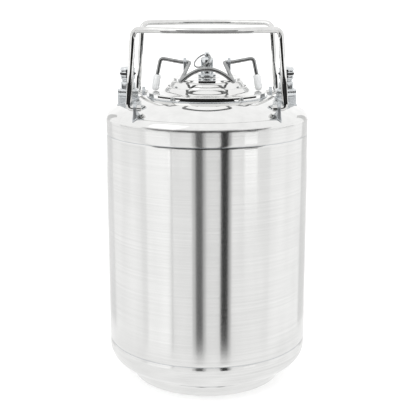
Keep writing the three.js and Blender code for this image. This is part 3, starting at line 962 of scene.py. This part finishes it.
    def poppet(self) -> bpy.types.Object:
        """The valve pin that shows in the post's nose."""
        low, high = box_mm(f"{self.line}_poppet")
        disc, waist, head = 4.6, 1.6, 2.4
        shelf, neck = low.z + 2.2, low.z + 5.3
        outline = eased([
            (0, low.z, 0), (disc, low.z, 0.3), (disc, shelf, 0.3), (waist, shelf, 0.2), (waist, neck, 0.2),
            (head, neck, 0.2), (head, high.z - 0.9, 0.8), (head / 2, high.z - 0.1, 0.5), (0, high.z, 0),
        ], 4, closed=False)
        return self.placed(f"{self.line}_pin", spun(outline, Sides.FINE, closed=False))

    def install(self, tank: Tank) -> None:
        """Builds and dresses the port."""
        install(self.boss(), Look.SATIN_PLATE, "tank", f"{self.line}_port_boss")
        install(self.boss_weld(tank), Look.WELD, "tank")
        install(self.post(), Look.TURNED_FITTING, "tank", f"{self.line}_post")
        install(self.ring(), Look.NITRILE, "tank", f"{self.line}_post_oring")
        install(self.poppet(), Look.TURNED_FITTING, f"{self.line}_poppet", f"{self.line}_poppet")


# ---------------------------------------------------------------- handles


@dataclass
class Handle:
    """A folding handle of bent rod with its two welded lugs.

    Attributes:
        end: "front" or "rear".
        side: -1 at the front, 1 at the rear.
        rod: The rod's radius.
        bow: How far the grip bar bows out over the rim.
        bend: Where the top bends start.
        fold_bend: Where the bends at the lugs start.
        stub: Half the distance between the rod's two ends.
        half_pivot: Half the rod's width at the hinge line.
        half_top: Half its width at the grip bar.
        lug_head: Radius of a lug's round head.
        lug_foot: Half width of its foot.
        lug_thick: Its thickness.
        lug_hole: Radius of its hole.
    """

    end: str
    side: int
    rod: float = 3.3
    bow: float = 28.0
    bend: float = 9.0
    fold_bend: float = 4.4
    stub: float = 69.0
    half_pivot: float = 82.5
    half_top: float = 76.3
    lug_head: float = 7.1
    lug_foot: float = 9.2
    lug_thick: float = 3.6
    lug_hole: float = 3.9

    def __post_init__(self) -> None:
        """Takes the hinge line and the bar's height from the frame."""
        self.pivot = hinge_mm(f"{self.end}_handle")
        self.bar_z = box_mm(f"{self.end}_handle")[1].z - self.rod

    def line(self) -> list[Vector]:
        """The rod's centre line: stub, leg, bowed bar, leg and stub."""
        y, z = self.pivot.y, self.pivot.z
        half = [
            (Vector((self.stub, y, z)), 0.0), (Vector((self.half_pivot, y, z)), self.fold_bend),
            (Vector((self.half_top, y, self.bar_z)), self.bend),
        ]
        ends = (Vector((self.half_top, y, self.bar_z)), Vector((-self.half_top, y, self.bar_z)))
        bar = bowed(ends, Vector((0, self.side * self.bow, 0)), 40, 4)
        return bent_path(half + bar + mirrored(half))

    def lug(self, hand: str, x: float, tank: Tank) -> bpy.types.Object:
        """One lug: an upright plate with a wide welded foot and the rod's hole."""
        head, foot = self.lug_head, self.lug_foot
        depth = tank.dome_height(math.hypot(x, self.pivot.y)) - self.pivot.z - 1.2
        outline = [(foot, depth - 3.0), *arc((0, 0), head, 0, 180, 18), (-foot, depth - 3.0)]
        plate = Plate(outline, [(0, 0, self.lug_hole)], self.lug_thick)
        return plate.build(f"{self.end}_{hand}_lug_plate", across(x, self.pivot.y, self.pivot.z))

    def lug_weld(self, hand: str, x: float, tank: Tank) -> bpy.types.Object:
        """The weld bead round a lug's foot, on the dome."""
        wide, long, steps = self.lug_thick / 2 + 0.1, self.lug_foot - 0.2, 8
        corners = [(wide, -long), (wide, long), (-wide, long), (-wide, -long)]
        line = []
        for (ax, ay), (bx, by) in zip(corners, corners[1:] + corners[:1]):
            for k in range(steps):
                px = x + ax + (bx - ax) * k / steps
                py = self.pivot.y + ay + (by - ay) * k / steps
                line.append(Vector((px, py, tank.dome_height(math.hypot(px, py)) + 0.1)))
        return rod(f"{self.end}_{hand}_lug_weld", line, 0.9, cyclic=True)

    def install(self, tank: Tank) -> None:
        """Builds and dresses the handle and its lugs."""
        handle = f"{self.end}_handle"
        install(rod(f"{handle}_rod", self.line(), self.rod), Look.BRIGHT_ROD, handle, handle)
        for hand in ("left", "right"):
            low, high = box_mm(f"{self.end}_{hand}_lug")
            x = (low.x + high.x) / 2
            install(self.lug(hand, x, tank), Look.SATIN_PLATE, "tank", f"{self.end}_{hand}_lug")
            install(self.lug_weld(hand, x, tank), Look.WELD, "tank")


# ---------------------------------------------------------------- lid, bail and relief valve


@dataclass
class Lid:
    """The deep-drawn oval lid with its rubber ring and the bail's two ears.

    Attributes:
        oval: How much longer the lid is along Y.
        sheet: Sheet thickness.
        neck: Half width of the upright neck, and its inner half width.
        neck_top: Height where the neck turns into the brim, outside and inside.
        brim: Where the brim turns up to the rim, as (half width, height).
        rim: Half width of the rim.
        flange: Half width of the flange under the collar.
        dish: Half widths of the dish's outer and inner step.
        dish_depth: How deep the dish lies under the rim.
        centre_hole: Half width of the hole for the relief valve.
        seal_at: Half width at the rubber ring's middle, and its section's radius.
        ear_head: Radius of an ear's round head.
        ear_foot: Half width of its foot.
        ear_waist: How far under the hinge line its flanks start to spread.
        ear_hole: Radius of its hole.
    """

    oval: float = 1.2
    sheet: float = 2.0
    neck: Point = (42.4, 40.4)
    neck_top: Point = (337.8, 336.6)
    brim: Point = (39.9, 343.0)
    rim: float = 38.4
    flange: float = 49.2
    dish: Point = (33.0, 15.0)
    dish_depth: float = 0.8
    centre_hole: float = 6.2
    seal_at: Point = (46.2, 2.2)
    ear_head: float = 4.9
    ear_foot: float = 6.6
    ear_waist: float = 3.0
    ear_hole: float = 2.8

    def __post_init__(self) -> None:
        """Takes the lid's heights from the frame."""
        low, high = box_mm("lid_plate")
        self.low, self.top = low.z, high.z

    def plate(self) -> bpy.types.Object:
        """The drawn plate: flange, upright neck, rounded brim and a faintly dished top."""
        low, top = self.low, self.top
        neck, inside = self.neck
        wide, narrow = self.dish
        shelf, floor = low + 2.6, top - self.dish_depth
        outline = eased([
            (neck - 1.5, low, 0.3), (self.flange, low, 0.8), (self.flange, shelf, 0.8), (neck, shelf, 0.6),
            (neck, self.neck_top[0], 2.0), (*self.brim, 1.2), (self.rim, top - 3.0, 0.4),
            (self.rim, top, 0.45), (wide + 1.5, top - 0.1, 1.5), (wide, floor, 1.0), (narrow, floor, 1.5),
            (narrow - 2.0, top - 0.05, 1.5), (self.centre_hole, top - 0.05, 0.2),
            (self.centre_hole, top - self.sheet, 0.2), (36.0, top - self.sheet - 0.6, 2.0),
            (inside - 0.2, self.neck_top[1], 1.5), (inside, low + 1.5, 0.5),
        ], 7)
        return finish_mesh("lid_drawn_plate", spun(outline, Sides.TANK, self.oval))

    def seal(self) -> bpy.types.Object:
        """The lid's rubber ring."""
        low, high = box_mm("lid_oring")
        middle, section = self.seal_at
        profile = bead_profile((middle, (low.z + high.z) / 2), section)
        return finish_mesh("lid_seal", spun(profile, Sides.TANK, self.oval))

    def ear(self, hand: str) -> bpy.types.Object:
        """One ear: a stamped tab with a round head and the bail's hole."""
        low, high = box_mm(f"{hand}_bail_ear")
        x, pivot = (low.x + high.x) / 2, hinge_mm("bail").z
        head, base, waist = self.ear_head, self.ear_foot, -self.ear_waist
        foot = self.top - 0.4 - pivot
        outline = [(base, foot), (head, waist), *arc((0, 0), head, 0, 180, 16), (-head, waist), (-base, foot)]
        return Plate(outline, [(0, 0, self.ear_hole)], high.x - low.x).build(
            f"{hand}_ear_tab", across(x, 0, pivot)
        )

    def install(self) -> None:
        """Builds and dresses the lid."""
        install(self.plate(), Look.MIRROR_SHEET, "lid", "lid_plate")
        install(self.seal(), Look.NITRILE, "lid", "lid_oring")
        for hand in ("left", "right"):
            install(self.ear(hand), Look.SATIN_PLATE, "lid", f"{hand}_bail_ear")


@dataclass
class Bail:
    """The lid's locking wire with its arched grip and two vinyl feet.

    Attributes:
        rod: The wire's radius.
        arm_x: Where the wire leaves the hinge line toward the grip, and how long its hub is.
        shoulder: Where an arm turns down, as (x, z).
        foot: Where it turns again, into its foot.
        end: The wire's end.
        grip: Where the grip's arch starts, as (x, reach to the front, z).
        rise: How high the arch rises.
        sleeve: A vinyl foot's radius, bore and length.
        sole: How far up the sleeve the wire's end stands.
        sleeve_lean: The sleeve's lean in degrees, along the wire.
        sleeve_offset: How far out from the wire's end the sleeve's round end lies.
    """

    rod: float = 2.2
    arm_x: Point = (19.0, 9.0)
    shoulder: Point = (51.6, 367.4)
    foot: Point = (55.6, 349.0)
    end: Point = (57.3, 338.6)
    grip: Corner = (28.5, 50.0, 346.0)
    rise: float = 14.0
    sleeve: Corner = (4.3, 2.35, 18.1)
    sole: float = 6.2
    sleeve_lean: float = 8.9
    sleeve_offset: float = 0.35

    def line(self) -> list[Vector]:
        """The wire's centre line from foot to foot."""
        z = hinge_mm("bail").z
        gx, gy, gz = self.grip
        arm, hub = self.arm_x
        half = [
            (Vector((-self.end[0], 0, self.end[1])), 0.0), (Vector((-self.foot[0], 0, self.foot[1])), 3.0),
            (Vector((-self.shoulder[0], 0, self.shoulder[1])), 4.0), (Vector((-arm - hub, 0, z)), 2.0),
            (Vector((-arm, 0, z)), 3.5), (Vector((-gx, -gy, gz)), 3.0),
        ]
        arch = bowed((Vector((-gx, -gy, gz)), Vector((gx, -gy, gz))), Vector((0, 0, self.rise)), 32, 3)
        return bent_path(half + arch + mirrored(half))

    def foot_sleeve(self, hand: str, side: int) -> bpy.types.Object:
        """One dipped vinyl foot, closed and round below, leaned along the wire."""
        low = box_mm(f"{hand}_bail_foot")[0].z
        r, bore, top = self.sleeve
        outline = arc((0, r), r, -90, 0, 10) + eased([
            (r, r, 0), (r, top - 0.6, 0.8), (r - 0.9, top, 0.5), (bore, top, 0.4),
            (bore, self.sole, 0.3), (0, self.sole, 0),
        ], 4, closed=False)[1:]
        bm = spun([(radius, z - r) for radius, z in outline], Sides.FINE, closed=False)
        lean = Matrix.Rotation(math.radians(-side * self.sleeve_lean), 4, "Y")
        x = side * (self.end[0] + self.sleeve_offset)
        place = Matrix.Translation(Vector((x, 0, low + r)) * MM)
        bmesh.ops.transform(bm, matrix=place @ lean, verts=bm.verts)
        return finish_mesh(f"{hand}_foot_sleeve", bm)

    def install(self) -> None:
        """Builds and dresses the bail."""
        install(rod("bail_rod", self.line(), self.rod), Look.SPRING_WIRE, "bail", "bail_wire")
        for hand, side in (("left", -1), ("right", 1)):
            install(self.foot_sleeve(hand, side), Look.VINYL, "bail", f"{hand}_bail_foot")


@dataclass
class ReliefValve:
    """The pull-ring relief valve in the middle of the lid.

    Attributes:
        barrel: Radius of the barrel.
        shank: The threaded shank's radius and its bore's.
        flange: Radius of the flange.
        chamber: The spring chamber's radius, floor and roof.
        guide: Radius of the hole that guides the stem.
        groove: The pitch, first height and depth of the barrel's three grooves.
        disc: Radius of the stem's sealing disc, its waist and its head.
        ring_radius: Radius of the pull ring.
        ring_rod: Radius of its wire.
        lean: How far the resting ring hangs down, in degrees.
        heading: Where the resting ring points, in degrees from the X axis.
    """

    barrel: float = 7.3
    shank: Point = (5.9, 2.6)
    flange: float = 10.0
    chamber: Corner = (5.0, 341.0, 366.0)
    guide: float = 2.1
    groove: Corner = (2.0, 6.0, 0.5)
    disc: Corner = (4.3, 1.6, 3.0)
    ring_radius: float = 10.0
    ring_rod: float = 0.9
    lean: float = 42.0
    heading: float = 225.0

    def __post_init__(self) -> None:
        """Takes the valve's heights and its eye from the frame."""
        low, high = box_mm("relief_body")
        self.low, self.top = low.z, high.z
        self.seat = box_mm("relief_gasket")[1].z + 2.9
        self.eye = hinge_mm("relief_ring")

    def body(self) -> bpy.types.Object:
        """The turned body: threaded shank, flange, grooved barrel and a domed cap."""
        b, f, z, top = self.barrel, self.flange, self.seat, self.top
        shank, bore = self.shank
        chamber, floor, roof = self.chamber
        pitch, first, depth = self.groove
        grooves: list[Corner] = []
        for k in range(3):
            at = z + first + pitch * k
            grooves += [
                (b, at, 0.15), (b - depth, at + 0.3, 0.15), (b - depth, at + 0.8, 0.15), (b, at + 1.1, 0.15),
            ]
        outline = eased([
            (bore, self.low, 0.2), (shank, self.low, 0.3), (shank, z - 0.3, 0.2), (f, z - 0.3, 0.3),
            (f, z + 2.1, 0.6), (b + 0.6, z + 2.4, 0.4), (b, z + 3.2, 0.4), *grooves, (b, top - 2.2, 1.2),
            (b - 2.2, top, 1.4), (self.guide, top, 0.2), (self.guide, roof, 0.2),
            (chamber, roof, 0.2), (chamber, floor, 0.2), (bore, floor, 0.2),
        ], 4)
        return finish_mesh("relief_barrel", spun(outline, Sides.FITTING))

    def stem(self) -> bpy.types.Object:
        """The stem with its disc below and a waisted head above, which the ring's wire runs through."""
        low, high = box_mm("relief_stem")
        disc, waist, head = self.disc
        shelf, neck = low.z + 2.4, self.top + 0.3
        outline = eased([
            (0, low.z, 0), (disc, low.z, 0.3), (disc, shelf, 0.3), (waist, shelf, 0.2), (waist, neck, 0.1),
            (head, neck, 0.3), (head, high.z - 0.9, 0.9), (waist, high.z, 0.7), (0, high.z, 0),
        ], 4, closed=False)
        return finish_mesh("relief_pin", spun(outline, Sides.FINE, closed=False))

    def ring(self) -> bpy.types.Object:
        """The pull ring, threaded through the eye and leaned to the front left."""
        lean, heading = math.radians(self.lean), math.radians(self.heading)
        flat = math.cos(lean)
        ahead = Vector((math.cos(heading) * flat, math.sin(heading) * flat, -math.sin(lean)))
        aside = Vector((-math.sin(heading), math.cos(heading), 0.0))
        centre = self.eye + ahead * self.ring_radius
        steps = 96
        turns = [math.tau * k / steps for k in range(steps)]
        line = [centre + (ahead * math.cos(a) + aside * math.sin(a)) * self.ring_radius for a in turns]
        return rod("relief_pull_ring", line, self.ring_rod, cyclic=True)

    def install(self) -> None:
        """Builds and dresses the valve."""
        install(self.body(), Look.TURNED_FITTING, "lid", "relief_body")
        install(self.stem(), Look.TURNED_FITTING, "relief_stem", "relief_stem")
        install(self.ring(), Look.SPRING_WIRE, "relief_ring", "relief_ring")


def dress_inner_parts() -> None:
    """Gives the CAD pieces that keep their shape their finishes."""
    finishes = {
        Look.NITRILE: ("poppet_seal", "dip_tube_oring", "relief_gasket"),
        Look.SATIN_PLATE: ("spring", "relief_nut", "dip_tube"),
    }
    for look, words in finishes.items():
        for name, node in frame["nodes"].items():
            fits = any(name.endswith(word) for word in words)
            if fits and not node.hide_render:
                for slot in node.material_slots:
                    slot.material = look.material()
                LOG.info("%s keeps its shape in %s", name, look.name)


# ---------------------------------------------------------------- studio


@dataclass(frozen=True)
class StudioPaint:
    """A light table's matt top, faintly lit from below, with a fine roller texture."""

    name: str
    colour: str
    glow: float

    def build(self) -> bpy.types.Material:
        """Makes the table top's material."""
        material, tree, out = new_material(self.name)
        grain = pattern(tree, (30.0, 30.0, 30.0))
        shader = add_node(tree, "ShaderNodeBsdfPrincipled", {
            "Base Color": linear(self.colour), "Roughness": ranged(tree, grain, 0.75, 0.85),
            "Specular IOR Level": 0.2, "Emission Color": WHITE, "Emission Strength": self.glow,
        })
        tree.links.new(shader.outputs[0], out.inputs["Surface"])
        return material


@dataclass
class Panel:
    """A curved panel round the keg that the steel mirrors and that the camera itself doesn't see.

    Attributes:
        name: The panel's name.
        start: Its first edge's heading in degrees, from the camera's side, to the right.
        end: Its last edge's heading.
        reach: The distance of its first long edge from the keg's axis in metres.
        head_reach: The same for its other long edge.
        foot: The height of its first long edge in metres.
        head: The height of the other long edge.
        glow: How bright it is; the room is a little over 1.
    """

    name: str
    start: float
    end: float
    reach: float
    head_reach: float
    foot: float
    head: float
    glow: float

    def build(self) -> None:
        """Stands the panel on the set."""
        bm = bmesh.new()
        a = math.radians(self.start)
        rows = ((self.reach, self.foot), (self.head_reach, self.head))
        pair = [bm.verts.new((math.sin(a) * r, -math.cos(a) * r, z)) for r, z in rows]
        edge = bm.edges.new(pair)
        turn = math.radians(self.end - self.start)
        bmesh.ops.spin(bm, geom=pair + [edge], axis=(0, 0, 1), cent=(0, 0, 0), angle=turn, steps=16)
        panel = finish_mesh(self.name, bm)
        material, tree, out = new_material(f"{self.name}_glow")
        shade = ranged(tree, pattern(tree, (60.0, 60.0, 200.0)), self.glow * 0.94, self.glow * 1.06)
        light = add_node(tree, "ShaderNodeEmission", {"Color": WHITE, "Strength": shade})
        tree.links.new(light.outputs[0], out.inputs["Surface"])
        panel.data.materials.append(material)
        panel.visible_camera = False
        panel.visible_shadow = False
        panel.visible_diffuse = False


@dataclass
class Studio:
    """A white room with a light table: even light, panels for the steel to mirror, and the camera.

    Attributes:
        room_light: How bright the room is all round.
        floor_half: Half the table's width in metres.
        table_glow: How bright the table shines from below.
        lens: The camera's focal length in millimetres.
        pitch: How far the camera looks down, in degrees.
        camera_at: The camera's place in metres.
        key_at: The soft key lamp's place in metres.
        key_size: The lamp's side in metres.
        key_power: The lamp's power in watts.
        near: The near panels' distance from the keg's axis in metres.
        near_head: The height of their upper edges.
        shelf: The height of the dark shelf that darkens the collar's face and the lid's front.
        far: The distance of the dark panels beyond them.
        back: The distance of the two panels behind the keg.
        back_glow: How bright these two are.
    """

    room_light: float = 1.12
    floor_half: float = 20.0
    table_glow: float = 0.3
    lens: float = 83.18
    pitch: float = 13.47
    camera_at: tuple[float, float, float] = (0.0011, -1.0801, 0.4545)
    near: float = 0.25
    near_head: float = 0.30
    shelf: float = 0.31
    far: float = 0.70
    back: float = 1.6
    back_glow: float = 0.7
    key_at: Corner = (-1.2, -0.9, 1.6)
    key_size: float = 1.2
    key_power: float = 2.0

    def panels(self) -> list[Panel]:
        """The panels: narrow ones close to the wall, and the dark room beyond them.

        Each near panel stands as one upright band on the wall, and the gaps between them are white room.
        """
        near = [  # first heading, last heading and glow
            ("edge_left", -130, -108, 0.85), ("side_left", -108, -62, 1.03), ("outer_left", -62, -55, 0.93),
            ("left", -55, -33, 1.1), ("left_line", -31, -29.5, 0.7), ("inner_left", -29, -12.5, 0.97),
            ("left_soft", -12.5, -9.5, 0.6), ("left_gap", -9.5, -3.5, 0.12), ("left_ease", -3.5, -1, 0.55),
            ("middle", -1, 11, 0.88), ("right_gap", 11.4, 18, 0.02), ("right_ease", 18, 20.5, 0.5),
            ("inner_right", 20.5, 32, 0.97), ("outer_right", 44, 58, 0.98), ("side_right", 58, 108, 1.06),
            ("edge_right", 108, 130, 0.8),
        ]
        panels = [
            Panel(f"{name}_panel", start, end, self.near, self.near, 0.0, self.near_head, glow)
            for name, start, end, glow in near
        ]
        return panels + [
            Panel("floor_panel", -180, 180, 0.02, 1.4, 0.001, 0.001, 1.0),
            Panel("dark_shelf_panel", -44, 44, 0.135, 0.25, self.shelf, self.shelf, 0.02),
            Panel("camera_side_panel", -31, 31, self.far, self.far, 0.20, 0.262, 0.05),
            Panel("dark_band_panel", -104, 104, self.far + 0.02, self.far + 0.02, 0.25, 0.315, 0.03),
            Panel("dark_room_panel", -32, 32, self.far, self.far, 0.262, 0.52, 0.02),
            Panel("back_left_panel", -150, -136, self.back, self.back, 0.0, 1.0, self.back_glow),
            Panel("back_right_panel", 134, 146, self.back, self.back, 0.0, 1.0, self.back_glow),
        ]

    def light(self) -> None:
        """An even white room and a soft key from the upper left, shown without a film curve."""
        world = bpy.data.worlds.new("white_room")
        bpy.context.scene.world = world
        world.use_nodes = True
        back = world.node_tree.nodes["Background"]
        back.inputs["Color"].default_value = WHITE
        back.inputs["Strength"].default_value = self.room_light
        bpy.context.scene.view_settings.view_transform = "Standard"
        lamp = bpy.data.lights.new("soft_key", "AREA")
        lamp.size, lamp.energy = self.key_size, self.key_power
        key = bpy.data.objects.new("soft_key", lamp)
        key.location = self.key_at
        key.rotation_euler = (Vector((0, 0, 0.2)) - key.location).to_track_quat("-Z", "Y").to_euler()
        bpy.context.scene.collection.objects.link(key)

    def floor(self) -> None:
        """A wide pale light table."""
        bm = bmesh.new()
        bmesh.ops.create_grid(bm, x_segments=1, y_segments=1, size=self.floor_half)
        floor = finish_mesh("floor", bm)
        floor.data.materials.append(StudioPaint("pale_floor_paint", "#FBFBFB", self.table_glow).build())

    def camera(self) -> None:
        """The camera in front, a little above the keg's shoulder."""
        data = bpy.data.cameras.new("front_camera")
        data.lens, data.sensor_width = self.lens, 36.0
        camera = bpy.data.objects.new("front_camera", data)
        camera.location = self.camera_at
        camera.rotation_euler = (math.radians(90 - self.pitch), 0, 0)
        bpy.context.scene.collection.objects.link(camera)
        bpy.context.scene.camera = camera

    def build(self) -> None:
        """Sets the studio up."""
        self.camera()
        self.light()
        self.floor()
        for panel in self.panels():
            panel.build()


def main() -> None:
    """Builds the keg's pieces, then the studio."""
    logging.basicConfig(level=logging.INFO, format="%(name)s: %(message)s")
    tank = Tank()
    tank.install()
    Mouth().install(tank)
    Port("gas", True).install(tank)
    Port("liquid", False).install(tank)
    Handle("front", -1).install(tank)
    Handle("rear", 1).install(tank)
    Lid().install()
    Bail().install()
    ReliefValve().install()
    dress_inner_parts()
    Studio().build()


if __name__ == "__main__":
    main()
